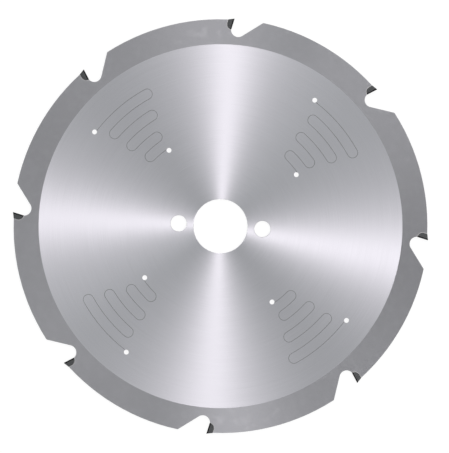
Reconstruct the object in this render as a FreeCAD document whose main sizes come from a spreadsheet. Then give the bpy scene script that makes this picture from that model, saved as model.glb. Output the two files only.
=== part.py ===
# Polycrystalline diamond saw blade with eight teeth, in millimetres and degrees
#
# The origin is on the arbor axis at the middle of the plate. +Z runs along that axis and the
# first cutting corner is on +X. Seen from +Z the blade turns clockwise, so each gullet lies
# on the clockwise side of its tip. "Ahead" means clockwise and "behind" anticlockwise.

import FreeCAD, Part
import math
import os

import Sketcher
from FreeCAD import Vector

SIZES = [
    # Tooth circle and plate
    ("tip_circle_diameter", "230", "circle through the cutting corners"),
    ("tooth_count", "8", "teeth, evenly spaced"),
    ("plate_thickness", "1.8", "steel plate"),
    ("side_overhang", "0.3", "how far a cutting corner stands out of each face of the plate"),
    ("rim_width", "14.4", "matt rim, from the ground disc to the tip circle"),
    # Arbor
    ("arbor_bore_diameter", "30", "bore that centres the blade"),
    ("pin_hole_diameter", "9", "hole for a drive pin"),
    ("pin_hole_count", "2", "drive pin holes, evenly spaced"),
    ("pin_hole_web", "3.7", "steel between the bore and a pin hole"),
    ("hole_edge_break", "0.15", "chamfer on the bore and the pin holes"),
    # Rim outline
    ("gullet_depth", "10", "from the tip circle down to the root of a gullet"),
    ("gullet_radius", "4", "round root of a gullet"),
    ("shoulder_lead_angle", "8", "from a cutting corner ahead to its shoulder"),
    ("shoulder_drop", "0.2", "from the tip circle down to a shoulder"),
    ("shoulder_rounding", "0.8", "rounding of a shoulder's corner"),
    ("heel_drop", "0.65", "from the tip circle down to the plate behind a tip"),
    # Tip
    ("tip_height", "6.3", "length of the rake face"),
    ("tip_depth", "3.2", "from the rake face to the back of the tip"),
    ("tip_toe_width", "0.2", "flat under the rake face, ahead of the rounded heel"),
    ("diamond_thickness", "0.7", "diamond layer, measured from the rake face"),
    ("hook_angle", "13.6", "lean of the rake face from the radius"),
    ("top_relief_angle", "10", "fall of the tip's top behind the cutting edge"),
    ("radial_relief_angle", "1", "narrowing of the tip towards the arbor"),
    ("side_relief_angle", "1.5", "narrowing of the tip behind the rake face"),
    # Braze
    ("braze_gap", "0.2", "braze between the tip and its seat"),
    ("braze_rise", "0.08", "how far the braze stands out of each face of the plate"),
    # Damping slots
    ("slot_group_count", "4", "groups of slots, evenly spaced"),
    ("slot_width", "0.22", "width of the cut"),
    ("slot_margin", "14.2", "from the edge of the ground disc in to the first pass"),
    ("slot_pitch", "5.77", "from one pass to the next"),
    ("slot_middle_angle", "44", "middle of the first group, from the first cutting corner"),
    ("first_turn_reach", "13", "reach of each turn from the group's middle, outermost turn first"),
    ("second_turn_reach", "10.9", "the same for the second turn"),
    ("third_turn_reach", "10.7", "the same for the third turn"),
    ("fourth_turn_reach", "10.1", "the same for the fourth turn"),
    ("fifth_turn_reach", "7.3", "the same for the fifth turn"),
    ("sixth_turn_reach", "8.2", "the same for the sixth turn"),
    ("relief_hole_diameter", "2.7", "hole at each end of a slot"),
    ("outer_hole_reach", "13.1", "from the group's middle to its outer relief hole"),
    ("inner_hole_reach", "5.9", "from the group's middle to its inner relief hole"),
    ("outer_hole_bite", "0.64", "from the first pass's edge in to the outer hole's rim"),
    ("inner_hole_bite", "0.15", "from the last pass's edge in to the inner hole's rim"),
]
TURN_REACHES = (
    "first_turn_reach",
    "second_turn_reach",
    "third_turn_reach",
    "fourth_turn_reach",
    "fifth_turn_reach",
    "sixth_turn_reach",
)
UP = Vector(0, 0, 1)
START, END, CENTRE = range(1, 4)  # points of a sketched line or arc
ORIGIN = (-1, 1)  # a sketch's own origin

DOC = FreeCAD.newDocument("saw_blade")
SHEET = DOC.addObject("Spreadsheet::Sheet", "sizes")


class Size:
    """A dimension as a number, and as the sheet expression that gives it."""

    def __init__(self, number, text):
        self.number = number
        self.text = text

    def __add__(self, other):
        other = as_size(other)
        return Size(self.number + other.number, f"({self.text} + {other.text})")

    def __sub__(self, other):
        other = as_size(other)
        return Size(self.number - other.number, f"({self.text} - {other.text})")

    def __mul__(self, other):
        other = as_size(other)
        return Size(self.number * other.number, f"({self.text} * {other.text})")

    def __truediv__(self, other):
        other = as_size(other)
        return Size(self.number / other.number, f"({self.text} / {other.text})")

    def __neg__(self):
        return Size(-self.number, f"(0 - {self.text})")


def as_size(value):
    return value if isinstance(value, Size) else Size(value, str(value))


def size(name):
    """The sheet's dimension of that name."""
    return Size(float(SHEET.get(name)), f"sizes.{name}")


def cosine(angle):
    return Size(math.cos(math.radians(angle.number)), f"cos({angle.text} * 1 deg)")


def sine(angle):
    return Size(math.sin(math.radians(angle.number)), f"sin({angle.text} * 1 deg)")


def arcsine(ratio):
    return Size(math.degrees(math.asin(ratio.number)), f"(asin({ratio.text}) / 1 deg)")


def fill_sheet():
    """Write the driving dimensions, their names and what they measure."""
    for row, (name, value, meaning) in enumerate(SIZES, start=1):
        SHEET.set(f"A{row}", name)
        SHEET.set(f"B{row}", value)
        SHEET.setAlias(f"B{row}", name)
        SHEET.set(f"C{row}", meaning)
    DOC.recompute()


# Dimensions that follow from the sheet


def tip_radius():
    return size("tip_circle_diameter") / 2


def ground_radius():
    return tip_radius() - size("rim_width")


def heel_radius():
    return tip_radius() - size("heel_drop")


def shoulder_radius():
    return tip_radius() - size("shoulder_drop")


def clear_radius():
    """A circle that clears the blank, where cutting profiles close."""
    return tip_radius() + size("tip_height")


def tooth_pitch():
    return as_size(360) / size("tooth_count")


def seat_height():
    """From the cutting corner down the rake face to the seat's lower corner."""
    return size("tip_height") + size("braze_gap")


def heel_corner_radius():
    return size("tip_depth") - size("tip_toe_width")


def pass_radius(index):
    return ground_radius() - size("slot_margin") - size("slot_pitch") * index


# Placing and binding


def bind(obj, attribute, value):
    """Tie one property of an object to the sheet."""
    obj.setExpression(attribute, as_size(value).text)


def placement_text(along_x, along_y, along_z, turn):
    """Expression for a placement: a shift, and a turn about Z."""
    shift = "; ".join(as_size(value).text for value in (along_x, along_y, along_z))
    angle = as_size(turn).text
    return (
        f"create(<<placement>>; create(<<vector>>; {shift}); "
        f"create(<<rotation>>; create(<<vector>>; 0; 0; 1); {angle}))"
    )


def turned(steps, pitch):
    """Placement expression for a copy turned about the arbor axis."""
    return placement_text(0, 0, 0, pitch * steps)


def tip_frame(tooth):
    """Placement expression of a tip's own frame: origin at the cutting corner, +X ahead, square
    to the rake face, and +Y outwards along the rake face."""
    angle = tooth_pitch() * tooth
    return placement_text(
        tip_radius() * cosine(angle),
        tip_radius() * sine(angle),
        0,
        angle - 90 - size("hook_angle"),
    )


def origin_feature(body, role):
    """One of the body's own base planes or axes."""
    return next(item for item in body.Origin.OriginFeatures if item.Role == role)


# Sketching


def new_body(label):
    body = DOC.addObject("PartDesign::Body", label)
    body.Label = label
    return body


def new_sketch(body, name, frame=None):
    """A sketch on the body's XY plane, or in a frame parallel to it."""
    sketch = body.newObject("Sketcher::SketchObject", name)
    sketch.AttachmentSupport = [(origin_feature(body, "XY_Plane"), "")]
    sketch.MapMode = "FlatFace"
    if frame is not None:
        sketch.setExpression("AttachmentOffset", frame)
    return sketch


def measure(sketch, name, kind, value, *where):
    """Add a named dimension to a sketch and tie it to the sheet."""
    value = as_size(value)
    number = math.radians(value.number) if kind == "Angle" else value.number
    index = sketch.addConstraint(Sketcher.Constraint(kind, *where, number))
    sketch.renameConstraint(index, name)
    sketch.setExpression(f"Constraints.{name}", value.text)


def relate(sketch, kind, *where):
    """Add a relation without a value to a sketch."""
    sketch.addConstraint(Sketcher.Constraint(kind, *where))


def add_line(sketch, start, end):
    return sketch.addGeometry(Part.LineSegment(start, end), False)


def add_arc(sketch, centre, start, end):
    """An anticlockwise arc from one point to another."""
    first = math.atan2(start.y - centre.y, start.x - centre.x)
    last = math.atan2(end.y - centre.y, end.x - centre.x)
    circle = Part.Circle(centre, UP, centre.distanceToPoint(start))
    return sketch.addGeometry(Part.ArcOfCircle(circle, first, last), False)


def add_circle(sketch, name, diameter, centre=Vector(0, 0, 0)):
    circle = sketch.addGeometry(Part.Circle(centre, UP, diameter.number / 2), False)
    measure(sketch, name, "Diameter", diameter, circle)
    return circle


def chain(sketch, *joints):
    """Join points of the sketch's lines and arcs in pairs."""
    for first, first_point, second, second_point in joints:
        relate(sketch, "Coincident", first, first_point, second, second_point)


# Features


def through_pocket(body, sketch):
    """Cut a profile through the whole body, evenly to both sides of its plane."""
    pocket = body.newObject("PartDesign::Pocket", f"{sketch.Name}_cut")
    pocket.Profile = sketch
    pocket.SideType = "Symmetric"
    pocket.Refine = False
    bind(pocket, "Length", size("plate_thickness") * 3)
    return pocket


def mid_pad(body, sketch, thickness):
    """Thicken a profile evenly to both sides of its plane."""
    pad = body.newObject("PartDesign::Pad", f"{sketch.Name}_pad")
    pad.Profile = sketch
    pad.SideType = "Symmetric"
    pad.Refine = False
    bind(pad, "Length", thickness)
    return pad


def around_the_arbor(body, features, count):
    """Repeat cuts evenly round the Z axis and make the result the body's last step."""
    pattern = body.newObject("PartDesign::PolarPattern", f"{body.Name}_pattern")
    pattern.Originals = features
    pattern.Axis = (origin_feature(body, "Z_Axis"), [""])
    pattern.Angle = 360
    pattern.Refine = False
    bind(pattern, "Occurrences", count)
    body.Tip = pattern
    return pattern


# Profiles that the plate and the braze share


def polar(radius, angle):
    """A point in the plate's plane."""
    turn = math.radians(angle)
    return Vector(radius * math.cos(turn), radius * math.sin(turn), 0)


def meeting_point(first, first_radius, second, second_radius):
    """Where two circles cross, on the left looking from the first centre to the second."""
    apart = second - first
    along = (first_radius**2 - second_radius**2 + apart.Length**2) / (2 * apart.Length)
    aside = math.sqrt(first_radius**2 - along**2)
    ahead = apart / apart.Length
    return first + ahead * along + Vector(-ahead.y, ahead.x, 0) * aside


def tangent_point(outside, centre, radius):
    """Where a line from a point touches a circle, on its left side."""
    apart = centre - outside
    reach = math.sqrt(apart.Length**2 - radius**2)
    return meeting_point(outside, reach, centre, radius)


def ray_meets_circle(start, direction, centre, radius):
    """Where a ray that starts inside a circle leaves it."""
    ahead = direction / direction.Length
    along = (centre - start).dot(ahead)
    off_line = (centre - start).Length ** 2 - along**2
    return start + ahead * (along + math.sqrt(radius**2 - off_line))


def rim_profile(body, name):
    """What is cut from the blank's rim for the first tooth: the gullet ahead of the tip, from
    the rake plane round the root and up the ramp to the shoulder, and the thin crescent behind
    it, which falls from the next shoulder to the heel of the seat."""
    sketch = new_sketch(body, name)
    origin = Vector(0, 0, 0)
    hook = size("hook_angle")
    lead = size("shoulder_lead_angle")
    foot_x = tip_radius() - seat_height() * cosine(hook)
    foot_y = seat_height() * sine(hook)
    root_distance = tip_radius() - size("gullet_depth") + size("gullet_radius")
    closing_angle = tooth_pitch() - lead / 2
    shoulder, clear = shoulder_radius().number, clear_radius().number

    corner = Vector(tip_radius().number, 0, 0)
    foot = Vector(foot_x.number, foot_y.number, 0)
    heel = ray_meets_circle(foot, corner - foot, origin, heel_radius().number)
    gullet_radius = size("gullet_radius").number
    root = meeting_point(foot, gullet_radius, origin, root_distance.number)
    near_shoulder = polar(shoulder, -lead.number)
    far_shoulder = polar(shoulder, (tooth_pitch() - lead).number)
    ramp_foot = tangent_point(near_shoulder, root, gullet_radius)
    ramp_end = ray_meets_circle(ramp_foot, near_shoulder - ramp_foot, origin, clear)
    back_centre = meeting_point(heel, shoulder, far_shoulder, shoulder)
    closing = polar(clear, closing_angle.number)
    back_end = ray_meets_circle(origin, closing, back_centre, shoulder)

    rake = add_line(sketch, heel, foot)
    gullet = add_arc(sketch, root, foot, ramp_foot)
    ramp = add_line(sketch, ramp_foot, ramp_end)
    outside = add_arc(sketch, origin, ramp_end, closing)
    radial = add_line(sketch, back_end, closing)
    back = add_arc(sketch, back_centre, heel, back_end)
    ahead_point = sketch.addGeometry(Part.Point(near_shoulder), True)
    behind_point = sketch.addGeometry(Part.Point(far_shoulder), True)

    chain(
        sketch,
        (rake, END, gullet, START),
        (ramp, END, outside, START),
        (outside, END, radial, END),
        (radial, START, back, END),
        (back, START, rake, START),
    )
    relate(sketch, "Tangent", gullet, END, ramp, START)
    relate(sketch, "Coincident", outside, CENTRE, *ORIGIN)
    relate(sketch, "PointOnObject", *ORIGIN, radial)
    relate(sketch, "PointOnObject", ahead_point, START, ramp)
    relate(sketch, "PointOnObject", behind_point, START, back)
    measure(sketch, "foot_x", "DistanceX", foot_x, rake, END)
    measure(sketch, "foot_y", "DistanceY", foot_y, rake, END)
    measure(sketch, "rake_direction", "Angle", as_size(180) - hook, rake)
    measure(sketch, "heel_radius", "Distance", heel_radius(), rake, START, *ORIGIN)
    measure(sketch, "gullet_radius", "Radius", size("gullet_radius"), gullet)
    measure(sketch, "root_distance", "Distance", root_distance, gullet, CENTRE, *ORIGIN)
    measure(sketch, "clear_radius", "Radius", clear_radius(), outside)
    measure(sketch, "closing_angle", "Angle", closing_angle, radial)
    measure(sketch, "back_radius", "Radius", shoulder_radius(), back)
    for name, point, angle in (
        ("ahead", ahead_point, -lead),
        ("behind", behind_point, tooth_pitch() - lead),
    ):
        measure(sketch, f"{name}_x", "DistanceX", shoulder_radius() * cosine(angle), point, START)
        measure(sketch, f"{name}_y", "DistanceY", shoulder_radius() * sine(angle), point, START)
    return sketch


def seat_profile(body, name, clearance):
    """The tip's sides in the tip's own frame, let out by a clearance: the flat under the rake
    face, the rounded heel and the rear wall. It runs on ahead of the rake face and above the
    top, so that a cut leaves no skin there."""
    sketch = new_sketch(body, name, tip_frame(0))
    clearance = as_size(clearance)
    ahead = size("plate_thickness")
    above = size("plate_thickness")
    below = size("tip_height") + clearance
    behind = size("tip_depth") + clearance
    rounding = heel_corner_radius() + clearance
    toe = size("tip_toe_width")
    corner = Vector(-toe.number, rounding.number - below.number, 0)

    front_foot = Vector(ahead.number, -below.number, 0)
    arc_foot = Vector(-toe.number, -below.number, 0)
    arc_top = Vector(-behind.number, corner.y, 0)
    rear_top = Vector(-behind.number, above.number, 0)
    front_top = Vector(ahead.number, above.number, 0)

    floor = add_line(sketch, front_foot, arc_foot)
    heel = add_arc(sketch, corner, arc_top, arc_foot)
    rear = add_line(sketch, arc_top, rear_top)
    top = add_line(sketch, rear_top, front_top)
    front = add_line(sketch, front_top, front_foot)
    chain(
        sketch,
        (rear, END, top, START),
        (top, END, front, START),
        (front, END, floor, START),
    )
    relate(sketch, "Tangent", floor, END, heel, END)
    relate(sketch, "Tangent", heel, START, rear, START)
    relate(sketch, "Horizontal", floor)
    relate(sketch, "Vertical", rear)
    relate(sketch, "Horizontal", top)
    relate(sketch, "Vertical", front)
    measure(sketch, "ahead", "DistanceX", ahead, front, START)
    measure(sketch, "above", "DistanceY", above, front, START)
    measure(sketch, "below", "DistanceY", -below, floor, START)
    measure(sketch, "behind", "DistanceX", -behind, rear, START)
    measure(sketch, "rounding", "Radius", rounding, heel)
    return sketch


# Saw plate


def plate_blank(body):
    """A round blank whose ground disc and matt rim are separate faces in one plane."""
    disc = new_sketch(body, "ground_disc")
    add_circle(disc, "edge", ground_radius() * 2)
    mid_pad(body, disc, size("plate_thickness"))
    ring = new_sketch(body, "rim_ring")
    add_circle(ring, "inner_edge", ground_radius() * 2)
    add_circle(ring, "outer_edge", size("tip_circle_diameter"))
    return mid_pad(body, ring, size("plate_thickness"))


def teeth_and_seats(body):
    """Gullet, ramp, back and tip seat of one tooth, repeated round the rim."""
    rim = through_pocket(body, rim_profile(body, "rim_outline"))
    seat = through_pocket(body, seat_profile(body, "tip_seat", size("braze_gap")))
    DOC.recompute()
    return around_the_arbor(body, [rim, seat], size("tooth_count"))


def rounded_shoulders(body, toothed):
    """Take the sharp corner off each shoulder, where the ramp meets the back."""
    DOC.recompute()
    lead = size("shoulder_lead_angle").number
    pitch = tooth_pitch().number
    count = round(size("tooth_count").number)
    corners = [polar(shoulder_radius().number, pitch * tooth - lead) for tooth in range(count)]
    edges = [
        f"Edge{index}"
        for index, edge in enumerate(toothed.Shape.Edges, start=1)
        if any(is_upright_at(edge, corner) for corner in corners)
    ]
    fillet = body.newObject("PartDesign::Fillet", "shoulder_rounding")
    fillet.Base = (toothed, edges)
    fillet.Refine = False
    bind(fillet, "Radius", size("shoulder_rounding"))
    return fillet


def is_upright_at(edge, place, tolerance=1e-4):
    """Whether an edge stands on the plate's plane at a place."""
    low, high = (vertex.Point for vertex in (edge.Vertexes[0], edge.Vertexes[-1]))
    flat = Vector(low.x, low.y, 0), Vector(high.x, high.y, 0)
    stands = abs(low.z - high.z) > tolerance
    return stands and all(point.distanceToPoint(place) < tolerance for point in flat)


def arbor_holes(body):
    """The bore and the drive pin holes, with their edges broken on both faces."""
    bore_sketch = new_sketch(body, "arbor_bore")
    add_circle(bore_sketch, "bore", size("arbor_bore_diameter"))
    through_pocket(body, bore_sketch)

    pin_distance = (size("arbor_bore_diameter") + size("pin_hole_diameter")) / 2
    pin_distance = pin_distance + size("pin_hole_web")
    pin_sketch = new_sketch(body, "pin_hole")
    place = Vector(pin_distance.number, 0, 0)
    pin = add_circle(pin_sketch, "pin", size("pin_hole_diameter"), place)
    measure(pin_sketch, "distance", "DistanceX", pin_distance, pin, CENTRE)
    relate(pin_sketch, "PointOnObject", pin, CENTRE, -1)
    drilled = around_the_arbor(body, [through_pocket(body, pin_sketch)], size("pin_hole_count"))
    DOC.recompute()

    radii = (size("arbor_bore_diameter").number / 2, size("pin_hole_diameter").number / 2)
    edges = [
        f"Edge{index}"
        for index, edge in enumerate(drilled.Shape.Edges, start=1)
        if isinstance(edge.Curve, Part.Circle)
        and edge.isClosed()
        and any(abs(edge.Curve.Radius - radius) < 1e-6 for radius in radii)
    ]
    chamfer = body.newObject("PartDesign::Chamfer", "hole_edges")
    chamfer.Base = (drilled, edges)
    chamfer.Refine = False
    bind(chamfer, "Size", size("hole_edge_break"))
    body.Tip = chamfer


def saw_plate(cutters):
    """The steel plate: blank, teeth, arbor holes, then the slots of every group."""
    body = new_body("plate_without_slots")
    plate_blank(body)
    rounded_shoulders(body, teeth_and_seats(body))
    arbor_holes(body)
    tools = DOC.addObject("Part::Compound", "all_slot_cutters")
    tools.Links = cutters
    plate = DOC.addObject("Part::Cut", "saw_plate")
    plate.Label = "saw_plate"
    plate.Base = body
    plate.Tool = tools
    plate.Refine = False
    return plate


# Tips


def tip_outline(body, name):
    """The whole tip in its own frame: rake face, sloping top, rear wall, rounded heel, toe."""
    sketch = new_sketch(body, name)
    height, depth = size("tip_height"), size("tip_depth")
    rounding, toe = heel_corner_radius(), size("tip_toe_width")
    fall = size("hook_angle") + size("top_relief_angle")
    drop = depth.number * math.tan(math.radians(fall.number))

    corner = Vector(0, 0, 0)
    rear_top = Vector(-depth.number, -drop, 0)
    arc_top = Vector(-depth.number, rounding.number - height.number, 0)
    arc_foot = Vector(-toe.number, -height.number, 0)
    front_foot = Vector(0, -height.number, 0)

    top = add_line(sketch, rear_top, corner)
    rear = add_line(sketch, arc_top, rear_top)
    heel = add_arc(sketch, Vector(arc_foot.x, arc_top.y, 0), arc_top, arc_foot)
    floor = add_line(sketch, arc_foot, front_foot)
    rake = add_line(sketch, front_foot, corner)
    chain(
        sketch,
        (rear, END, top, START),
        (floor, END, rake, START),
        (rake, END, top, END),
    )
    relate(sketch, "Coincident", rake, END, *ORIGIN)
    relate(sketch, "Tangent", heel, END, floor, START)
    relate(sketch, "Tangent", heel, START, rear, START)
    relate(sketch, "Vertical", rake)
    relate(sketch, "Vertical", rear)
    relate(sketch, "Horizontal", floor)
    measure(sketch, "height", "Distance", height, rake)
    measure(sketch, "depth", "DistanceX", -depth, rear, START)
    measure(sketch, "fall", "Angle", fall, top)
    measure(sketch, "rounding", "Radius", rounding, heel)
    return sketch


def layer_cut(body, name, outwards):
    """Cut the tip along the plane between the two layers and drop one side: the carbide
    behind it, or the diamond ahead of it."""
    sketch = new_sketch(body, name)
    reach = size("tip_height")
    joint = -size("diamond_thickness")
    far = joint + reach if outwards else joint - reach
    corners = [
        Vector(joint.number, -2 * reach.number, 0),
        Vector(far.number, -2 * reach.number, 0),
        Vector(far.number, reach.number, 0),
        Vector(joint.number, reach.number, 0),
    ]
    sides = [add_line(sketch, corners[side], corners[(side + 1) % 4]) for side in range(4)]
    chain(sketch, *((sides[side], END, sides[(side + 1) % 4], START) for side in range(4)))
    for side, direction in zip(sides, ("Horizontal", "Vertical", "Horizontal", "Vertical")):
        relate(sketch, direction, side)
    measure(sketch, "joint", "DistanceX", joint, sides[0], START)
    measure(sketch, "far", "DistanceX", far, sides[0], END)
    measure(sketch, "low", "DistanceY", -reach * 2, sides[0], START)
    measure(sketch, "high", "DistanceY", reach, sides[2], START)
    return through_pocket(body, sketch)


def relief(body, solid, name, role, angle, reverse):
    """Lean both ground sides of a tip away from one plane through the cutting corner."""
    DOC.recompute()
    sides = [
        f"Face{index}"
        for index, face in enumerate(solid.Shape.Faces, start=1)
        if abs(face.normalAt(0, 0).z) > math.cos(math.radians(45))
    ]
    draft = body.newObject("PartDesign::Draft", name)
    draft.Base = (solid, sides)
    draft.NeutralPlane = (origin_feature(body, role), [""])
    draft.Reversed = reverse
    draft.Refine = False
    bind(draft, "Angle", angle)
    return draft


def tip_layer(label, tooth, diamond):
    """One layer of a tip: the diamond on the rake side, or the carbide that carries it."""
    body = new_body(label)
    width = size("plate_thickness") + size("side_overhang") * 2
    block = mid_pad(body, tip_outline(body, "tip_outline"), width)
    leaning = relief(body, block, "side_relief", "YZ_Plane", size("side_relief_angle"), True)
    relief(body, leaning, "radial_relief", "XZ_Plane", size("radial_relief_angle"), False)
    layer_cut(body, "layer_joint", outwards=not diamond)
    body.setExpression("Placement", tip_frame(tooth))
    return body


# Braze


def braze_joint(label, tooth):
    """The braze round one tip: a film that fills the gap between the tip and its seat, stands a
    little out of both faces of the plate and is trimmed flush with the plate's outline."""
    body = new_body(label)
    thickness = size("plate_thickness") + size("braze_rise") * 2
    mid_pad(body, seat_profile(body, "film", size("braze_gap")), thickness)
    through_pocket(body, rim_profile(body, "rim_trim"))
    through_pocket(body, seat_profile(body, "tip_room", 0))
    body.setExpression("Placement", turned(tooth, tooth_pitch()))
    return body


# Damping slots


def turn_centre_angle(index):
    """Where a turn is centred: its reach from the group's middle, less its own half width."""
    mid_radius = pass_radius(index) - size("slot_pitch") / 2
    inset = arcsine(size("slot_pitch") / 2 / mid_radius)
    reach = size(TURN_REACHES[index]) - inset
    middle = size("slot_middle_angle")
    return middle - reach if index % 2 == 0 else middle + reach


def slot_centre_line(group):
    """The middle of one serpentine cut, drawn once round the arbor axis: arcs about the axis,
    joined in turn at their clockwise and anticlockwise ends by half circles."""
    sketch = DOC.addObject("Sketcher::SketchObject", f"slot_path_{group + 1}")
    middle = size("slot_middle_angle")
    last = len(TURN_REACHES)
    ends = [middle + size("outer_hole_reach")]
    ends += [turn_centre_angle(index) for index in range(last)]
    ends += [middle - size("inner_hole_reach")]
    origin = Vector(0, 0, 0)

    passes = []
    for index in range(last + 1):
        radius = pass_radius(index).number
        low, high = sorted((ends[index].number, ends[index + 1].number))
        arc = add_arc(sketch, origin, polar(radius, low), polar(radius, high))
        relate(sketch, "Coincident", arc, CENTRE, *ORIGIN)
        measure(sketch, f"pass_{index + 1}", "Radius", pass_radius(index), arc)
        passes.append(arc)

    for index in range(last):
        outer, inner = passes[index], passes[index + 1]
        angle = ends[index + 1]
        mid_radius = pass_radius(index) - size("slot_pitch") / 2
        centre = polar(mid_radius.number, angle.number)
        outer_end = polar(pass_radius(index).number, angle.number)
        inner_end = polar(pass_radius(index + 1).number, angle.number)
        if index % 2 == 0:
            turn = add_arc(sketch, centre, inner_end, outer_end)
            relate(sketch, "Tangent", turn, END, outer, START)
            relate(sketch, "Tangent", turn, START, inner, START)
        else:
            turn = add_arc(sketch, centre, outer_end, inner_end)
            relate(sketch, "Tangent", turn, START, outer, END)
            relate(sketch, "Tangent", turn, END, inner, END)
        across = mid_radius * cosine(angle)
        measure(sketch, f"turn_{index + 1}", "DistanceX", across, turn, CENTRE)

    outer_x = pass_radius(0) * cosine(ends[0])
    inner_x = pass_radius(last) * cosine(ends[-1])
    measure(sketch, "outer_end", "DistanceX", outer_x, passes[0], END)
    measure(sketch, "inner_end", "DistanceX", inner_x, passes[last], START)
    sketch.setExpression("Placement", turned(group, slot_group_pitch()))
    return sketch


def slot_group_pitch():
    return as_size(360) / size("slot_group_count")


def relief_hole(label, group, radius, angle):
    """A drill for the hole at one end of a slot."""
    drill = DOC.addObject("Part::Cylinder", label)
    bind(drill, "Radius", size("relief_hole_diameter") / 2)
    bind(drill, "Height", size("plate_thickness") * 2)
    around = angle + slot_group_pitch() * group
    place = placement_text(
        radius * cosine(around), radius * sine(around), -size("plate_thickness"), 0
    )
    drill.setExpression("Placement", place)
    return drill


def slot_cutter(group):
    """What cuts one group: the serpentine slot with the relief holes at its two ends."""
    number = group + 1
    outline = DOC.addObject("Part::Offset2D", f"slot_outline_{number}")
    outline.Source = slot_centre_line(group)
    outline.Mode = "Pipe"
    outline.Join = "Arc"
    bind(outline, "Value", size("slot_width") / 2)
    slot = DOC.addObject("Part::Extrusion", f"slot_{number}")
    slot.Base = outline
    slot.DirMode = "Custom"
    slot.Dir = UP
    slot.Solid = True
    slot.Symmetric = True
    bind(slot, "LengthFwd", size("plate_thickness") * 2)

    middle = size("slot_middle_angle")
    to_hole_rim = (size("relief_hole_diameter") - size("slot_width")) / 2
    outer_drill = relief_hole(
        f"outer_drill_{number}",
        group,
        pass_radius(0) + to_hole_rim - size("outer_hole_bite"),
        middle + size("outer_hole_reach"),
    )
    inner_drill = relief_hole(
        f"inner_drill_{number}",
        group,
        pass_radius(len(TURN_REACHES)) - to_hole_rim + size("inner_hole_bite"),
        middle - size("inner_hole_reach"),
    )
    cutter = DOC.addObject("Part::MultiFuse", f"slot_cutter_{number}")
    cutter.Shapes = [slot, outer_drill, inner_drill]
    cutter.Refine = False
    return cutter


# Whole blade


def build_blade():
    """Every sub-part, in the order plate, tips and braze."""
    groups = range(round(size("slot_group_count").number))
    parts = [saw_plate([slot_cutter(group) for group in groups])]
    teeth = range(round(size("tooth_count").number))
    parts += [tip_layer(f"diamond_layer_{tooth + 1}", tooth, diamond=True) for tooth in teeth]
    parts += [tip_layer(f"carbide_backing_{tooth + 1}", tooth, diamond=False) for tooth in teeth]
    parts += [braze_joint(f"braze_joint_{tooth + 1}", tooth) for tooth in teeth]
    DOC.recompute()
    return parts


def check_blade(parts):
    """Stop if a step failed or a sub-part is not one sound solid."""
    for item in DOC.Objects:
        if "Invalid" in item.State or "Error" in item.State:
            raise RuntimeError(f"{item.Name} failed: {item.getStatusString()}")
    for part in parts:
        shape = part.Shape
        if shape.isNull() or not shape.isValid() or len(shape.Solids) != 1:
            raise RuntimeError(f"{part.Label} is not one sound solid")


def write_steps(parts):
    os.makedirs("parts", exist_ok=True)
    for part in parts:
        part.Shape.exportStep(os.path.join("parts", f"{part.Label}.step"))
        print(f"{part.Label}: {part.Shape.Volume:.3f} mm3")


fill_sheet()
PARTS = build_blade()
check_blade(PARTS)
write_steps(PARTS)
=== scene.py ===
"""Finishes, slot resin, studio and camera for a saw blade with brazed diamond tips."""

import logging
import math
from dataclasses import dataclass
from enum import Enum

import bmesh
import bpy
from mathutils import Matrix, Vector


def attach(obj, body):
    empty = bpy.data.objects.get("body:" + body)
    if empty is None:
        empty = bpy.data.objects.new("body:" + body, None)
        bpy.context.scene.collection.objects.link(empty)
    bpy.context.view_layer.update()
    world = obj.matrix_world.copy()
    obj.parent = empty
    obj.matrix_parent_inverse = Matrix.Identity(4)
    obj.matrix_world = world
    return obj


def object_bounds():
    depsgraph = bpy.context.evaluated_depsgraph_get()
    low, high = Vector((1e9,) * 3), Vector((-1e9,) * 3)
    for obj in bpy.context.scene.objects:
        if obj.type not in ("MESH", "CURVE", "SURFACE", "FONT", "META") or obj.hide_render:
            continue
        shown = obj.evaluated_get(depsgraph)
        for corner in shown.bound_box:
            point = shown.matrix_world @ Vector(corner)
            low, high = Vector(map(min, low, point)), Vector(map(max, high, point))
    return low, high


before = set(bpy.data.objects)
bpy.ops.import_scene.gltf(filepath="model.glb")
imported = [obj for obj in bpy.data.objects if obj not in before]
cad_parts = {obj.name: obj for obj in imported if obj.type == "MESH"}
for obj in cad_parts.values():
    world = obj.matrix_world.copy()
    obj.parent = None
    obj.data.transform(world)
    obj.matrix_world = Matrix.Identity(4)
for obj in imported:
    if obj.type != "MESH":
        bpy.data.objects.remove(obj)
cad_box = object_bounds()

Rgb = tuple[float, float, float]
Reach = tuple[float, float]  # the low end and the high end of a range

MM = 0.001
BODY = "root"
NOWHERE = (0.0, 0.0, 0.0)
UP = (0.0, 0.0, 1.0)
NOISE_REACH: Reach = (0.3, 0.7)  # nearly all of the noise lies in here
NOISE_MIDDLE = (0.5, 0.5, 0.5)
SHARE: Reach = (0.0, 1.0)

CAMERA_TURN_DEG = 3.9  # the picture's right-hand side, measured from the blade's +X

log = logging.getLogger("saw_blade")


class Step(Enum):
    """Arithmetic that a finish uses on single values."""

    ADD = "ADD"
    MULTIPLY = "MULTIPLY"
    GREATER = "GREATER_THAN"
    ABSOLUTE = "ABSOLUTE"
    MAXIMUM = "MAXIMUM"
    POWER = "POWER"


class Turn(Enum):
    """Arithmetic that a finish uses on directions."""

    ADD = "ADD"
    SUBTRACT = "SUBTRACT"
    MULTIPLY = "MULTIPLY"
    CROSS = "CROSS_PRODUCT"
    DOT = "DOT_PRODUCT"
    NORMALIZE = "NORMALIZE"
    LENGTH = "LENGTH"
    SCALE = "SCALE"


class Blend(Enum):
    """What a blend mixes."""

    NUMBER = "FLOAT"
    COLOUR = "RGBA"
    DIRECTION = "VECTOR"


class Ray(Enum):
    """Rays that see the plain white background instead of the room's light."""

    CAMERA = "Is Camera Ray"
    GLOSSY = "Is Glossy Ray"
    TRANSMISSION = "Is Transmission Ray"


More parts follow.
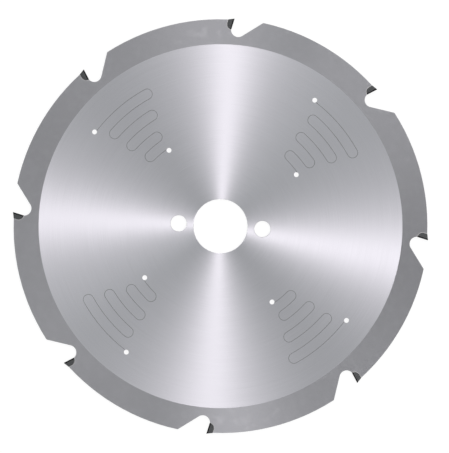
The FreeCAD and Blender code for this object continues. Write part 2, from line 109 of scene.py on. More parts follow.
class Recipe:
    """A node tree under construction, with one short call for each kind of node."""

    def __init__(self, tree: bpy.types.NodeTree) -> None:
        """Starts from an empty tree."""
        self.tree = tree
        self.tree.nodes.clear()

    def add(self, kind: str, *sources: object, **settings: object) -> bpy.types.Node:
        """Adds a node.

        Args:
            kind: Blender's name for the kind of node.
            sources: what goes to the node's first sockets, in their order.
            settings: properties of the node itself.

        Returns:
            The new node.
        """
        node = self.tree.nodes.new(kind)
        for name, value in settings.items():
            setattr(node, name, value)
        for socket, source in zip(node.inputs, sources):
            self.feed(socket, source)
        return node

    def feed(self, socket: bpy.types.NodeSocket, source: object) -> None:
        """Links a socket to another node's output, or sets its plain value.

        Args:
            socket: the socket.
            source: an output, a number, a direction or a colour of three parts.
        """
        if isinstance(source, bpy.types.NodeSocket):
            self.tree.links.new(source, socket)
        elif socket.type == "RGBA":
            socket.default_value = (*source, 1.0)
        else:
            socket.default_value = source

    def step(self, kind: Step, first: object, second: object = 0.0) -> bpy.types.NodeSocket:
        """Does one sum on single values and returns its result."""
        return self.add("ShaderNodeMath", first, second, operation=kind.value).outputs[0]

    def turn(self, kind: Turn, first: object, second: object = NOWHERE) -> bpy.types.NodeSocket:
        """Does one sum on directions.

        Args:
            kind: which sum.
            first: the first direction.
            second: the second direction, or the factor for a scale.

        Returns:
            A direction, or a single value for a length or a dot product.
        """
        node = self.add("ShaderNodeVectorMath", first, operation=kind.value)
        self.feed(node.inputs["Scale" if kind is Turn.SCALE else 1], second)
        return node.outputs["Value" if kind in (Turn.LENGTH, Turn.DOT) else "Vector"]

    def blend(
        self, factor: object, first: object, second: object, kind: Blend = Blend.NUMBER
    ) -> bpy.types.NodeSocket:
        """Blends two values, colours or directions.

        Args:
            factor: 0 for the first, 1 for the second.
            first: the first one.
            second: the second one.
            kind: what they are.

        Returns:
            The blend.
        """
        node = self.add("ShaderNodeMix", data_type=kind.value)
        ends = [socket for socket in node.inputs if socket.enabled]
        for socket, source in zip(ends, (factor, first, second)):
            self.feed(socket, source)
        return next(socket for socket in node.outputs if socket.enabled)

    def noise(self, vector: object, scale: float, detail: float) -> bpy.types.Node:
        """Adds a noise node.

        Args:
            vector: where the noise is read.
            scale: how many grains go to one unit of the vector.
            detail: how many finer layers lie on it.

        Returns:
            The node.
        """
        node = self.add("ShaderNodeTexNoise", noise_dimensions="3D")
        self.feed(node.inputs["Vector"], vector)
        self.feed(node.inputs["Scale"], scale)
        self.feed(node.inputs["Detail"], detail)
        return node

    def grain(self, size: float, detail: float = 2.0) -> bpy.types.NodeSocket:
        """Makes grains of this size in metres and returns them as values between 0 and 1."""
        return self.noise(self.place(), 1 / size, detail).outputs["Fac"]

    def spread(
        self, value: object, ends: Reach, reach: Reach = NOISE_REACH
    ) -> bpy.types.NodeSocket:
        """Maps a value from its reach to new ends, and holds it there outside the reach.

        Args:
            value: the value.
            ends: what the reach's low end and its high end become.
            reach: the part of the value that counts.

        Returns:
            The mapped value.
        """
        node = self.add("ShaderNodeMapRange")
        names = ("Value", "From Min", "From Max", "To Min", "To Max")
        for name, source in zip(names, (value, *reach, *ends)):
            self.feed(node.inputs[name], source)
        return node.outputs["Result"]

    def relief(self, height: object, strength: float, depth: float) -> bpy.types.NodeSocket:
        """Turns a height between 0 and 1 into a normal.

        Args:
            height: the height.
            strength: how much of it shows.
            depth: what a height of 1 measures, in metres.

        Returns:
            The normal.
        """
        node = self.add("ShaderNodeBump")
        for name, source in (("Height", height), ("Strength", strength), ("Distance", depth)):
            self.feed(node.inputs[name], source)
        return node.outputs["Normal"]

    def place(self) -> bpy.types.NodeSocket:
        """Returns the place on the object, in metres."""
        return self.add("ShaderNodeTexCoord").outputs["Object"]

    def split(self, vector: object) -> bpy.types.NodeOutputs:
        """Returns the three parts of a direction."""
        return self.add("ShaderNodeSeparateXYZ", vector).outputs

    def join(self, x: object, y: object, z: object) -> bpy.types.NodeSocket:
        """Returns the direction with these three parts."""
        return self.add("ShaderNodeCombineXYZ", x, y, z).outputs[0]

    def shader(self, kind: str, **sockets: object) -> bpy.types.NodeSocket:
        """Adds a shader.

        Args:
            kind: Blender's name for the shader.
            sockets: what goes to its sockets, with underscores for the spaces in their names.

        Returns:
            The shader's output.
        """
        node = self.add(kind)
        for name, source in sockets.items():
            self.feed(node.inputs[name.replace("_", " ")], source)
        return node.outputs[0]

    def surface(self, **sockets: object) -> None:
        """Ends a material's recipe with its one surface shader and what goes to its sockets."""
        self.add("ShaderNodeOutputMaterial", self.shader("ShaderNodeBsdfPrincipled", **sockets))


def new_finish(name: str) -> tuple[bpy.types.Material, Recipe]:
    """Makes an empty material.

    Args:
        name: the finish's name.

    Returns:
        The material and the recipe that fills it.
    """
    material = bpy.data.materials.new(name)
    material.use_nodes = True
    return material, Recipe(material.node_tree)


def swing(angle: float, radius: float = 1.0) -> Vector:
    """Returns the place in the plate's plane at this angle, in radians from +X, and radius."""
    return Vector((radius * math.cos(angle), radius * math.sin(angle), 0.0))


def picture_way(degrees: float) -> Vector:
    """Returns the unit direction in the plate's plane that lies at this angle in the picture."""
    return swing(math.radians(degrees + CAMERA_TURN_DEG))


def round_the_arbor(recipe: Recipe) -> tuple[bpy.types.NodeSocket, bpy.types.NodeSocket]:
    """Reads the place on the blade as a turner does.

    Args:
        recipe: the recipe that needs it.

    Returns:
        The unit direction out from the arbor, and the radius in metres.
    """
    parts = recipe.split(recipe.place())
    flat = recipe.join(parts[0], parts[1], 0.0)
    return recipe.turn(Turn.NORMALIZE, flat), recipe.turn(Turn.LENGTH, flat)


def circular_marks(
    recipe: Recipe, outward: object, radius: object, pitch: float, per_turn: float, detail: float
) -> bpy.types.NodeSocket:
    """Makes the concentric marks of a rotary grinder.

    Args:
        recipe: the recipe that needs them.
        outward: the unit direction out from the arbor.
        radius: the radius in metres.
        pitch: the usual distance between two marks, in metres.
        per_turn: how often a mark changes on its way round the arbor.
        detail: how many finer layers lie on them.

    Returns:
        Noise that changes fast outwards and slowly round the arbor.
    """
    ring = recipe.turn(Turn.SCALE, outward, per_turn)
    step_out = recipe.join(0.0, 0.0, recipe.step(Step.MULTIPLY, radius, 1 / pitch))
    return recipe.noise(recipe.turn(Turn.ADD, ring, step_out), 1.0, detail).outputs["Fac"]


@dataclass(frozen=True)
class PlatePlace:
    """What the plate's recipe knows of a place on it."""

    recipe: Recipe
    outward: bpy.types.NodeSocket  # the unit direction out from the arbor
    radius: bpy.types.NodeSocket  # in metres
    normal: bpy.types.NodeSocket
    rim: bpy.types.NodeSocket  # 1 on the blasted rim, 0 on the ground disc
    flat: bpy.types.NodeSocket  # 1 on the two faces, 0 on the cut walls

    def choose(
        self, ground: object, blasted: object, wall: object, kind: Blend = Blend.NUMBER
    ) -> bpy.types.NodeSocket:
        """Gives each of the plate's three surfaces its own value.

        Args:
            ground: the value on the ground disc.
            blasted: the value on the rim.
            wall: the value on the cut walls.
            kind: what the values are.

        Returns:
            The value at each place.
        """
        face = self.recipe.blend(self.rim, ground, blasted, kind)
        return self.recipe.blend(self.flat, wall, face, kind)


@dataclass(frozen=True)
class PaintedLightSide:
    """A side of the blade towards which light and shade are painted into a surface's tone: a
    positive amount paints a highlight, a negative one paints shade.
    """

    angle_deg: float  # in the picture
    narrowness: float
    # above 0, how much lighter a painted highlight makes the tone; below 0, how much darker a
    # painted shade makes it
    painted_light: float


@dataclass(frozen=True)
class SteelFinish:
    """The plate: a circular-ground disc, a blasted rim and laser-cut walls."""

    ground_radius: float = 100.6 * MM  # the ground disc ends here and the blasted rim starts
    border_width: float = 0.1 * MM
    flat_limit: float = 0.6  # a face whose normal leans over more than this is a cut wall

    ground_colour: Rgb = (0.661, 0.66, 0.702)
    blasted_colour: Rgb = (0.434, 0.437, 0.46)
    wall_colour: Rgb = (0.50, 0.495, 0.51)
    ground_roughness: Reach = (0.48, 0.52)
    blasted_roughness: Reach = (0.57, 0.67)
    wall_roughness: Reach = (0.45, 0.65)
    ground_pull: float = 1.0  # how strongly the grooves of each surface stretch a reflection
    blasted_pull: float = 0.95
    wall_pull: float = 0.7

    marks_per_turn: float = 3.0
    mark_detail: float = 3.0
    mark_pitch: float = 0.12 * MM
    mark_tone: Reach = (-0.02, 0.02)
    band_pitch: float = 1.6 * MM
    band_tone: Reach = (-0.008, 0.008)
    scratch_pitch: float = 0.03 * MM
    scratch_tone: Reach = (0.93, 1.07)
    scratch_depth: float = 0.5  # against a mark's
    groove_depth: float = 0.25  # of marks and scratches, against the blasting's
    blast_grain: float = 0.05 * MM
    grain_tone: Reach = (0.96, 1.03)
    blast_cloud: float = 4.5 * MM
    cloud_detail: float = 3.0
    cloud_tone: Reach = (-0.04, 0.04)
    cloud_reach: Reach = (0.35, 0.65)
    cut_pitch: float = 0.13 * MM
    cut_tone: Reach = (0.82, 1.1)
    cut_detail: float = 2.0
    cut_stretch: tuple[float, float, float] = (1.0, 1.0, 0.06)  # draws the lines out upright
    relief_strength: float = 0.25
    relief_depth: float = 0.01 * MM

    # The marks lean off the circle by how far right and how far up in the picture they lie.
    # The first number goes with that, and the second with its cube.
    lean_right: tuple[float, float] = (-0.06, 0.119)
    lean_up: tuple[float, float] = (-0.10, 0.104)

    leftover_angle_deg: float = 94.0  # where in the picture old marks show through the blasting
    leftover_lag_deg: float = 8.0
    leftover_pull: float = 1.35
    leftover_narrowness: float = 12.0
    leftover_detail: float = 1.0

    # Painted highlight and painted shade on the ground disc, by side of the picture: positive
    # amounts paint highlight, negative amounts paint shade.
    painted_light_on_disc: tuple[PaintedLightSide, ...] = (
        PaintedLightSide(204.0, 36.0, 0.10),
        PaintedLightSide(56.0, 24.0, 0.06),
        PaintedLightSide(306.0, 24.0, -0.06),
        PaintedLightSide(130.0, 24.0, -0.05),
    )
    # Painted highlight and painted shade on the blasted rim, by side of the picture: positive
    # amounts paint highlight, negative amounts paint shade.
    painted_light_on_rim: tuple[PaintedLightSide, ...] = (
        PaintedLightSide(273.0, 40.0, 0.20),
        PaintedLightSide(350.0, 8.0, -0.19),
        PaintedLightSide(217.0, 24.0, 0.06),
        PaintedLightSide(155.0, 12.0, -0.09),
        PaintedLightSide(55.0, 12.0, 0.06),
        PaintedLightSide(84.0, 16.0, 0.07),
    )

    def material(self) -> bpy.types.Material:
        """Makes the plate's material.

        Returns:
            The material.
        """
        material, recipe = new_finish("ground_and_blasted_steel")
        here = self.read_place(recipe)
        marks = self.marks(here, self.mark_pitch)
        bands = self.marks(here, self.band_pitch)
        scratches = self.marks(here, self.scratch_pitch)
        grain = recipe.grain(self.blast_grain)
        cloud = recipe.grain(self.blast_cloud, self.cloud_detail)
        upright = recipe.turn(Turn.MULTIPLY, recipe.place(), self.cut_stretch)
        cuts = recipe.noise(upright, 1 / self.cut_pitch, self.cut_detail).outputs["Fac"]

        coarse = recipe.step(
            Step.ADD, recipe.spread(marks, self.mark_tone), recipe.spread(bands, self.band_tone)
        )
        ground_tone = recipe.step(Step.ADD, coarse, recipe.spread(scratches, self.scratch_tone))
        blasted_tone = recipe.step(
            Step.ADD,
            recipe.spread(grain, self.grain_tone),
            recipe.spread(cloud, self.cloud_tone, self.cloud_reach),
        )
        # Light and shade painted into the disc's and the rim's tones towards some sides.
        ground_tone = self.paint_light_by_side(here, ground_tone, self.painted_light_on_disc)
        blasted_tone = self.paint_light_by_side(here, blasted_tone, self.painted_light_on_rim)
        scratch_height = recipe.step(Step.MULTIPLY, scratches, self.scratch_depth)
        groove_height = recipe.step(Step.ADD, marks, scratch_height)

        colour = here.choose(
            recipe.turn(Turn.SCALE, self.ground_colour, ground_tone),
            recipe.turn(Turn.SCALE, self.blasted_colour, blasted_tone),
            recipe.turn(Turn.SCALE, self.wall_colour, recipe.spread(cuts, self.cut_tone)),
            Blend.DIRECTION,
        )
        rough = here.choose(
            recipe.spread(marks, self.ground_roughness),
            recipe.spread(cloud, self.blasted_roughness),
            recipe.spread(cuts, self.wall_roughness),
        )
        height = here.choose(
            recipe.step(Step.MULTIPLY, groove_height, self.groove_depth), grain, cuts
        )
        across = here.choose(
            self.across_marks(here),
            self.across_leftovers(here),
            recipe.turn(Turn.CROSS, here.normal, UP),
            Blend.DIRECTION,
        )
        recipe.surface(
            Base_Color=colour,
            Metallic=1.0,
            Roughness=rough,
            Anisotropic=here.choose(self.ground_pull, self.blasted_pull, self.wall_pull),
            Tangent=across,
            Normal=recipe.relief(height, self.relief_strength, self.relief_depth),
        )
        return material

    def read_place(self, recipe: Recipe) -> PlatePlace:
        """Reads where a place on the plate is.

        Args:
            recipe: the plate's recipe.

        Returns:
            The place, with the surface that it belongs to.
        """
        outward, radius = round_the_arbor(recipe)
        normal = recipe.add("ShaderNodeNewGeometry").outputs["Normal"]
        steepness = recipe.step(Step.ABSOLUTE, recipe.split(normal)[2])
        half_border = self.border_width / 2
        border = (self.ground_radius - half_border, self.ground_radius + half_border)
        return PlatePlace(
            recipe=recipe,
            outward=outward,
            radius=radius,
            normal=normal,
            rim=recipe.spread(radius, SHARE, border),
            flat=recipe.step(Step.GREATER, steepness, self.flat_limit),
        )

    def marks(self, here: PlatePlace, pitch: float) -> bpy.types.NodeSocket:
        """Makes one layer of the marks that circular grinding leaves, at this pitch in metres."""
        return circular_marks(
            here.recipe, here.outward, here.radius, pitch, self.marks_per_turn, self.mark_detail
        )

    def paint_light_by_side(
        self, here: PlatePlace, tone: object, sides: tuple[PaintedLightSide, ...]
    ) -> bpy.types.NodeSocket:
        """Paints light and shade into a surface's tone: lighter towards some sides of the blade as
        a painted highlight, darker towards others as a painted shade.

        Args:
            here: the place on the plate.
            tone: the surface's own tone.
            sides: the sides that get a painted highlight and those that get a painted shade.

        Returns:
            The tone with the painted highlight and shade in it.
        """
        recipe = here.recipe
        for side in sides:
            facing = recipe.turn(Turn.DOT, here.outward, picture_way(side.angle_deg))
            facing = recipe.step(Step.MAXIMUM, facing, 0.0)
            share = recipe.step(Step.POWER, facing, side.narrowness)
            tone = recipe.step(Step.ADD, tone, recipe.step(Step.MULTIPLY, share, side.painted_light))
        return tone

    def across_marks(self, here: PlatePlace) -> bpy.types.NodeSocket:
        """Finds the direction across the ground disc's marks, in which it scatters most.

        Args:
            here: the place on the plate.

        Returns:
            The direction.
        """
        recipe = here.recipe
        leans = []
        for degrees, (plain, cubed) in ((0.0, self.lean_right), (90.0, self.lean_up)):
            share = recipe.turn(Turn.DOT, here.outward, picture_way(degrees))
            cube = recipe.step(Step.MULTIPLY, recipe.step(Step.POWER, share, 3.0), cubed)
            leans.append(recipe.step(Step.ADD, recipe.step(Step.MULTIPLY, share, plain), cube))
        onward = recipe.turn(Turn.CROSS, UP, here.outward)
        aside = recipe.turn(Turn.SCALE, onward, recipe.step(Step.ADD, *leans))
        return recipe.turn(Turn.ADD, here.outward, aside)

    def across_leftovers(self, here: PlatePlace) -> bpy.types.NodeSocket:
        """Finds the direction across what the blasting left of the marks on the rim.

        Args:
            here: the place on the plate.

        Returns:
            The direction, which is random from grain to grain except where the old marks show.
        """
        recipe = here.recipe
        noise = recipe.noise(recipe.place(), 1 / self.blast_grain, self.leftover_detail)
        scatter = recipe.turn(Turn.SUBTRACT, noise.outputs["Color"], NOISE_MIDDLE)
        facing = recipe.turn(Turn.DOT, here.outward, picture_way(self.leftover_angle_deg))
        facing = recipe.step(Step.ABSOLUTE, facing)
        share = recipe.step(Step.POWER, facing, self.leftover_narrowness)
        lagging = recipe.add("ShaderNodeVectorRotate", here.outward, rotation_type="Z_AXIS")
        recipe.feed(lagging.inputs["Angle"], -math.radians(self.leftover_lag_deg))
        strength = recipe.step(Step.MULTIPLY, share, self.leftover_pull)
        pull = recipe.turn(Turn.SCALE, lagging.outputs[0], strength)
        return recipe.turn(Turn.NORMALIZE, recipe.turn(Turn.ADD, scatter, pull))


@dataclass(frozen=True)
class DiamondFinish:
    """The cutting layer: near-black lapped diamond, with a faint painted highlight in the colour of
    a few crystals.
    """

    dark: Rgb = (0.001, 0.001, 0.0012)
    light: Rgb = (0.008, 0.008, 0.009)
    painted_glint: Rgb = (0.09, 0.09, 0.095)
    crystal: float = 0.03 * MM
    painted_glint_limit: float = 0.98  # the few crystals above this get a painted highlight
    roughness: Reach = (0.24, 0.44)
    gloss: float = 0.05
    relief_strength: float = 0.3
    relief_depth: float = 0.002 * MM

    def material(self) -> bpy.types.Material:
        """Makes the diamond's material.

        Returns:
            The material.
        """
        material, recipe = new_finish("lapped_diamond")
        cells = recipe.add("ShaderNodeTexVoronoi", recipe.place())
        recipe.feed(cells.inputs["Scale"], 1 / self.crystal)
        pick = recipe.split(cells.outputs["Color"])
        body = recipe.blend(pick[0], self.dark, self.light, Blend.COLOUR)
        # A few crystals get a painted highlight in their colour.
        painted_glint_share = recipe.step(Step.GREATER, pick[1], self.painted_glint_limit)
        recipe.surface(
            Base_Color=recipe.blend(painted_glint_share, body, self.painted_glint, Blend.COLOUR),
            Metallic=0.0,
            Roughness=recipe.spread(pick[2], self.roughness, SHARE),
            Specular_IOR_Level=self.gloss,
            Normal=recipe.relief(pick[0], self.relief_strength, self.relief_depth),
        )
        return material


@dataclass(frozen=True)
class CarbideFinish:
    """The tip's body: dark grey carbide with the lines of its last grinding."""

    dark: Rgb = (0.043, 0.045, 0.046)
    light: Rgb = (0.084, 0.088, 0.09)
    lines_per_turn: float = 25.0
    line_detail: float = 2.0
    line_pitch: float = 0.06 * MM
    line_share: Reach = (0.0, 0.5)
    cloud_size: float = 0.9 * MM
    cloud_share: Reach = (0.0, 0.5)
    roughness: Reach = (0.39, 0.51)
    relief_strength: float = 0.25
    relief_depth: float = 0.004 * MM

    def material(self) -> bpy.types.Material:
        """Makes the carbide's material.

        Returns:
            The material.
        """
        material, recipe = new_finish("ground_carbide")
        outward, radius = round_the_arbor(recipe)
        lines = circular_marks(
            recipe, outward, radius, self.line_pitch, self.lines_per_turn, self.line_detail
        )
        cloud = recipe.grain(self.cloud_size)
        share = recipe.step(
            Step.ADD, recipe.spread(lines, self.line_share), recipe.spread(cloud, self.cloud_share)
        )
        recipe.surface(
            Base_Color=recipe.blend(share, self.dark, self.light, Blend.COLOUR),
            Metallic=1.0,
            Roughness=recipe.spread(lines, self.roughness),
            Normal=recipe.relief(lines, self.relief_strength, self.relief_depth),
        )
        return material


@dataclass(frozen=True)
class BrazeFinish:
    """The joint round each tip: pale dull silver that has flowed and set."""

    pale: Rgb = (0.56, 0.56, 0.56)
    dull: Rgb = (0.38, 0.375, 0.37)
    ripple_size: float = 0.35 * MM
    dull_reach: Reach = (0.35, 0.7)  # from all pale to all dull
    grit_size: float = 0.07 * MM
    grit_depth: float = 0.2  # against a ripple's
    roughness: Reach = (0.35, 0.57)
    relief_strength: float = 0.5
    relief_depth: float = 0.03 * MM

    def material(self) -> bpy.types.Material:
        """Makes the braze's material.

        Returns:
            The material.
        """
        material, recipe = new_finish("silver_braze")
        ripple = recipe.grain(self.ripple_size)
        grit = recipe.grain(self.grit_size)
        share = recipe.spread(ripple, SHARE, self.dull_reach)
        height = recipe.step(Step.ADD, ripple, recipe.step(Step.MULTIPLY, grit, self.grit_depth))
        recipe.surface(
            Base_Color=recipe.blend(share, self.pale, self.dull, Blend.COLOUR),
            Metallic=1.0,
            Roughness=recipe.spread(grit, self.roughness),
            Normal=recipe.relief(height, self.relief_strength, self.relief_depth),
        )
        return material


@dataclass(frozen=True)
class ResinFinish:
    """The damping resin in the slots: matt grey with a few darker specks."""

    body: Rgb = (0.14, 0.14, 0.145)
    speck: Rgb = (0.075, 0.075, 0.078)
    speck_size: float = 0.08 * MM
    speck_detail: float = 1.0
    speck_reach: Reach = (0.58, 0.7)  # from no speck to all speck
    cloud_size: float = 1.5 * MM
    roughness: Reach = (0.62, 0.82)
    relief_strength: float = 0.3
    relief_depth: float = 0.01 * MM

    def material(self) -> bpy.types.Material:
        """Makes the resin's material.

        Returns:
            The material.
        """
        material, recipe = new_finish("damping_resin")
        specks = recipe.grain(self.speck_size, self.speck_detail)
        cloud = recipe.grain(self.cloud_size)
        share = recipe.spread(specks, SHARE, self.speck_reach)
        recipe.surface(
            Base_Color=recipe.blend(share, self.body, self.speck, Blend.COLOUR),
            Metallic=0.0,
            Roughness=recipe.spread(cloud, self.roughness),
            Normal=recipe.relief(specks, self.relief_strength, self.relief_depth),
        )
        return material


def dress(name: str, material: bpy.types.Material) -> bpy.types.Object:
    """Puts one material in every material slot of a CAD part.

    Args:
        name: the part's node.
        material: the material.

    Returns:
        The part.
    """
    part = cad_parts[name]
    for slot in part.material_slots:
        slot.material = material
    return part


@dataclass
class SawPlate:
    """The saw plate, whose shape is the CAD node's."""

    node: str = "saw_plate"
    finish: SteelFinish = SteelFinish()

    def build(self) -> list[bpy.types.Object]:
        """Dresses the plate and returns it."""
        return [dress(self.node, self.finish.material())]


@dataclass
class CuttingTips:
    """The tips: a diamond layer, its carbide backing and the braze that holds them."""

    count: int = 8
    diamond: DiamondFinish = DiamondFinish()
    carbide: CarbideFinish = CarbideFinish()
    braze: BrazeFinish = BrazeFinish()

    def build(self) -> list[bpy.types.Object]:
        """Dresses the three pieces of every tip.

        Returns:
            The pieces.
        """
        finishes = {
            "diamond_layer": self.diamond.material(),
            "carbide_backing": self.carbide.material(),
            "braze_joint": self.braze.material(),
        }
        return [
            dress(f"{name}_{number}", material)
            for number in range(1, self.count + 1)
            for name, material in finishes.items()
        ]


@dataclass(frozen=True)
class ReliefHole:
    """A relief hole at one end of a damping slot."""

    reach: float  # from the arbor's axis to the hole's
    angle_deg: float  # from the slot's middle

    def centre(self, middle: float) -> Vector:
        """Returns the hole's centre for a slot with this middle, in radians."""
        return swing(middle + math.radians(self.angle_deg), self.reach)


@dataclass
class SlotResin:
    """The resin that fills the serpentine damping slots, one ribbon to a slot."""

    group_count: int = 4
    middle_deg: float = 44.0
    first_radius: float = 86.4 * MM
    pitch: float = 5.77 * MM
    turn_reaches_deg: tuple[float, ...] = (13.0, 10.9, 10.7, 10.1, 7.3, 8.2)
    outer_end_deg: float = 12.3  # where the outer relief hole cuts the first pass
    inner_end_deg: float = -5.02  # where the inner relief hole cuts the last pass
    outer_hole: ReliefHole = ReliefHole(87.0 * MM, 13.1)
    inner_hole: ReliefHole = ReliefHole(50.69 * MM, -5.9)
    hole_radius: float = 1.37 * MM  # the resin stops just short of a relief hole's wall
    width: float = 0.30 * MM  # the walls of the slot hide a little of it on each side
    top: float = 0.86 * MM
    sag: float = 0.03 * MM
    bend_share: float = 0.6  # this share of the way out, this share of the sag is left
    step_length: float = 0.9 * MM
    turn_steps: int = 24
    finish: ResinFinish = ResinFinish()

    def build(self) -> list[bpy.types.Object]:
        """Makes the ribbons and puts them on the blade.

        Returns:
            The ribbons.
        """
        material = self.finish.material()
        pieces = []
        for number in range(self.group_count):
            middle = math.radians(self.middle_deg + 360 / self.group_count * number)
            piece = self.ribbon(f"slot_resin_{number + 1}", middle)
            piece.data.materials.append(material)
            for face in piece.data.polygons:
                face.use_smooth = True
            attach(piece, BODY)
            pieces.append(piece)
        return pieces

    def ribbon(self, name: str, middle: float) -> bpy.types.Object:
        """Sweeps the section along a slot, from the wall of one relief hole to that of the other.

        Args:
            name: the piece's name.
            middle: the angle of the slot's middle, in radians.

        Returns:
            The closed ribbon.
        """
        shape = bmesh.new()
        rings = [[shape.verts.new(place) for place in ring] for ring in self.rings(middle)]
        for here, there in zip(rings, rings[1:]):
            for i in range(len(here)):
                j = (i + 1) % len(here)
                shape.faces.new((here[i], here[j], there[j], there[i]))
        shape.faces.new(rings[0])
        shape.faces.new(reversed(rings[-1]))
        bmesh.ops.recalc_face_normals(shape, faces=shape.faces)
        mesh = bpy.data.meshes.new(name)
        shape.to_mesh(mesh)
        shape.free()
        piece = bpy.data.objects.new(name, mesh)
        bpy.context.collection.objects.link(piece)
        return piece

    def rings(self, middle: float) -> list[list[Vector]]:
        """Finds the corners of the section at each point of a slot's centre line.

        Args:
            middle: the angle of the slot's middle, in radians.

        Returns:
            One ring of corners for each point, the first and the last on the relief holes' walls.
        """
        line = self.centre_line(middle)
        last = len(line) - 1
        holes = {0: self.outer_hole.centre(middle), last: self.inner_hole.centre(middle)}
        rings = []
        for i, point in enumerate(line):
            ahead = (line[min(i + 1, last)] - line[max(i - 1, 0)]).normalized()
            across = Vector((-ahead.y, ahead.x, 0.0))
            ring = []
            for aside, height in self.section():
                place = point + across * aside
                if i in holes:
                    place = self.slide_to_wall(place, ahead, holes[i])
                ring.append(place + Vector(UP) * height)
            rings.append(ring)
        return rings

    def centre_line(self, middle: float) -> list[Vector]:
        """Finds a slot's centre line, from its outer end to its inner end.

        Args:
            middle: the angle of the slot's middle, in radians.

        Returns:
            Points in the plane of the plate.
        """
        line: list[Vector] = []
        start = math.radians(self.outer_end_deg)
        bend = self.pitch / 2
        for number, reach in enumerate(self.turn_reaches_deg):
            side = -1 if number % 2 == 0 else 1
            radius = self.first_radius - self.pitch * number
            mid_radius = radius - bend
            turn = side * (math.radians(reach) - math.asin(bend / mid_radius))
            line += self.arc_pass(middle, radius, start, turn)
            line += self.turn_back(middle + turn, mid_radius, bend, side)
            start = turn
        last_radius = self.first_radius - self.pitch * len(self.turn_reaches_deg)
        return line + self.arc_pass(middle, last_radius, start, math.radians(self.inner_end_deg))

    def arc_pass(self, middle: float, radius: float, start: float, end: float) -> list[Vector]:
        """Follows one pass round the arbor.

        Args:
            middle: the angle of the slot's middle, in radians.
            radius: the radius of the pass.
            start: where the pass starts, in radians from the middle.
            end: where it ends, in radians from the middle.

        Returns:
            The points of the pass, with both its ends.
        """
        steps = max(2, round(abs(end - start) * radius / self.step_length))
        angles = [middle + start + (end - start) * i / steps for i in range(steps + 1)]
        return [swing(angle, radius) for angle in angles]

    def turn_back(self, angle: float, mid_radius: float, bend: float, side: int) -> list[Vector]:
        """Follows the half circle that joins two passes.

        Args:
            angle: the angle of the turn's centre.
            mid_radius: the radius of the turn's centre.
            bend: the radius of the turn itself.
            side: 1 where the turn bulges anticlockwise, -1 where it bulges clockwise.

        Returns:
            The points between the two passes, without its ends.
        """
        out = swing(angle)
        onward = Vector((-out.y, out.x, 0.0)) * side
        bends = [math.pi * i / self.turn_steps for i in range(1, self.turn_steps)]
        return [
            out * (mid_radius + bend * math.cos(b)) + onward * (bend * math.sin(b)) for b in bends
        ]

    def slide_to_wall(self, place: Vector, ahead: Vector, hole: Vector) -> Vector:
        """Slides a place along the slot until it meets the near wall of a relief hole.

        Args:
            place: where it starts.
            ahead: the unit direction along the slot.
            hole: the centre of the hole.

        Returns:
            The place at the wall.
        """
        along = ahead.dot(hole - place)
        aside = hole - place - ahead * along
        half_chord = math.sqrt(self.hole_radius ** 2 - aside.length_squared)
        return place + ahead * (along - math.copysign(half_chord, along))

    def section(self) -> list[tuple[float, float]]:
        """Finds the ribbon's section, whose top and bottom sag a little between the walls.

        Returns:
            Its corners, each by how far aside it is and how high.
        """
        half = self.width / 2
        bend = half * self.bend_share
        bend_top = self.top - self.sag * self.bend_share
        upper = [(half, self.top), (bend, bend_top), (0.0, self.top - self.sag),
                 (-bend, bend_top), (-half, self.top)]
        return upper + [(aside, -height) for aside, height in reversed(upper)]


@dataclass(frozen=True)
class Softbox:
    """A long narrow soft lamp, aimed at the blade from above, its length in line with its tilt."""

    name: str
    azimuth_deg: float
    watts: float
    tilt_deg: float = 28.0
    distance: float = 4.0
    length: float = 2.9
    width: float = 0.18
    colour: Rgb = (1.0, 0.945, 0.967)

    def build(self) -> None:
        """Hangs the lamp, which only reflections can see."""
        lamp = bpy.data.lights.new(self.name, "AREA")
        lamp.shape = "RECTANGLE"
        lamp.size = self.length
        lamp.size_y = self.width
        lamp.energy = self.watts
        lamp.color = self.colour
        holder = bpy.data.objects.new(self.name, lamp)
        holder.visible_camera = False
        azimuth = Matrix.Rotation(math.radians(self.azimuth_deg), 4, "Z")
        tilt = Matrix.Rotation(math.radians(self.tilt_deg), 4, "Y")
        holder.matrix_world = azimuth @ tilt @ Matrix.Translation((0.0, 0.0, self.distance))
        bpy.context.collection.objects.link(holder)
        log.info("%s: hung at %.1f degrees", self.name, self.azimuth_deg)


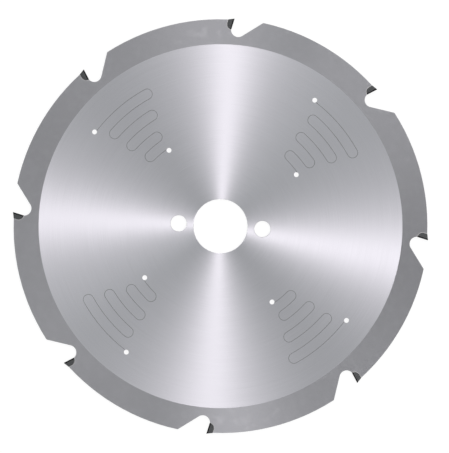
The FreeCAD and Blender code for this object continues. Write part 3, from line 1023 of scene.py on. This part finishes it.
@dataclass
class Studio:
    """The pale floor, the white room and the two soft lamps."""

    floor_half: float = 4.0
    floor_own: Rgb = (0.13, 0.13, 0.13)  # the part of the floor's white that takes shadows
    floor_white_level: float = 0.9
    floor_bounce: Rgb = (0.8, 0.8, 0.8)
    room_level: float = 0.53
    room_colour: Rgb = (0.952, 1.0, 0.981)
    white: Rgb = (1.0, 1.0, 1.0)
    horizon_level: float = 0.9
    horizon_height: float = 0.45
    lamps: tuple[Softbox, ...] = (
        Softbox("side_softbox", -6.6 + CAMERA_TURN_DEG, 42.0),
        Softbox("front_softbox", 87.1 + CAMERA_TURN_DEG, 40.8),
    )

    def build(self, level: float) -> None:
        """Builds the whole studio.

        Args:
            level: the height of the blade's lowest point.
        """
        self.lay_floor(level)
        self.fill_room()
        for lamp in self.lamps:
            lamp.build()

    def lay_floor(self, level: float) -> None:
        """Lays the floor under the blade.

        Args:
            level: the height of the blade's lowest point.
        """
        sides = ((-1, -1), (1, -1), (1, 1), (-1, 1))
        corners = [(x * self.floor_half, y * self.floor_half, level) for x, y in sides]
        mesh = bpy.data.meshes.new("floor")
        mesh.from_pydata(corners, [], [(0, 1, 2, 3)])
        mesh.materials.append(self.floor_material())
        floor = bpy.data.objects.new("floor", mesh)
        bpy.context.collection.objects.link(floor)
        log.info("floor: laid at %.2f mm", level / MM)

    def floor_material(self) -> bpy.types.Material:
        """Makes the floor's material.

        Returns:
            A pale matt floor, white to the camera, that keeps a shadow and is clear from below.
        """
        material, recipe = new_finish("pale_floor")
        own = recipe.shader("ShaderNodeBsdfDiffuse", Color=self.floor_own)
        white = recipe.shader("ShaderNodeEmission", Strength=self.floor_white_level)
        seen = recipe.add("ShaderNodeAddShader", own, white).outputs[0]
        bounce = recipe.shader("ShaderNodeBsdfDiffuse", Color=self.floor_bounce)
        background = self.background_share(recipe)
        top = recipe.add("ShaderNodeMixShader", background, bounce, seen).outputs[0]
        underneath = recipe.add("ShaderNodeNewGeometry").outputs["Backfacing"]
        clear = recipe.shader("ShaderNodeBsdfTransparent")
        whole = recipe.add("ShaderNodeMixShader", underneath, top, clear).outputs[0]
        recipe.add("ShaderNodeOutputMaterial", whole)
        return material

    def background_share(self, recipe: Recipe) -> bpy.types.NodeSocket:
        """Sorts the rays that reach the floor.

        Args:
            recipe: the floor's recipe.

        Returns:
            1 for the rays that should meet the white background, and 0 for the rest.
        """
        path = recipe.add("ShaderNodeLightPath")
        share = path.outputs[Ray.CAMERA.value]
        for ray in (Ray.GLOSSY, Ray.TRANSMISSION):
            share = recipe.step(Step.MAXIMUM, share, path.outputs[ray.value])
        return share

    def fill_room(self) -> None:
        """Gives the room its even light, brighter towards the horizon, and its white background."""
        world = bpy.data.worlds.new("room")
        bpy.context.scene.world = world
        world.use_nodes = True
        recipe = Recipe(world.node_tree)
        up = recipe.split(recipe.add("ShaderNodeTexCoord").outputs["Generated"])[2]
        level = recipe.spread(up, (self.horizon_level, self.room_level), (0.0, self.horizon_height))
        camera = recipe.add("ShaderNodeLightPath").outputs[Ray.CAMERA.value]
        light = recipe.shader(
            "ShaderNodeBackground",
            Color=recipe.blend(camera, self.room_colour, self.white, Blend.COLOUR),
            Strength=recipe.blend(camera, level, 1.0),
        )
        recipe.add("ShaderNodeOutputWorld", light)


@dataclass
class Viewpoint:
    """The camera, which looks straight down on the blade."""

    lens: float = 400.0
    sensor: float = 36.0
    plate_top: float = 0.9 * MM
    frame_height: float = 250.46 * MM
    offset_right: float = 2.21 * MM
    offset_up: float = -0.19 * MM
    nearest: float = 0.05
    farthest: float = 50.0

    def build(self) -> None:
        """Makes the camera and gives it to the scene."""
        lens = bpy.data.cameras.new("camera")
        lens.lens = self.lens
        lens.sensor_width = self.sensor
        lens.clip_start = self.nearest
        lens.clip_end = self.farthest
        camera = bpy.data.objects.new("camera", lens)
        turn = Matrix.Rotation(math.radians(CAMERA_TURN_DEG), 4, "Z")
        rise = self.plate_top + self.frame_height * self.lens / self.sensor
        camera.matrix_world = turn @ Matrix.Translation((self.offset_right, self.offset_up, rise))
        bpy.context.collection.objects.link(camera)
        bpy.context.scene.camera = camera
        log.info("camera: %.0f mm up", rise / MM)


def main() -> None:
    """Builds everything in order."""
    logging.basicConfig(level=logging.INFO)
    bpy.context.scene.view_settings.view_transform = "Standard"
    for assembly in (SawPlate(), CuttingTips(), SlotResin()):
        for piece in assembly.build():
            finish = piece.material_slots[0].material.name
            log.info("%s: %d faces in %s", piece.name, len(piece.data.polygons), finish)
    Studio().build(cad_box[0].z)
    Viewpoint().build()


if __name__ == "__main__":
    main()
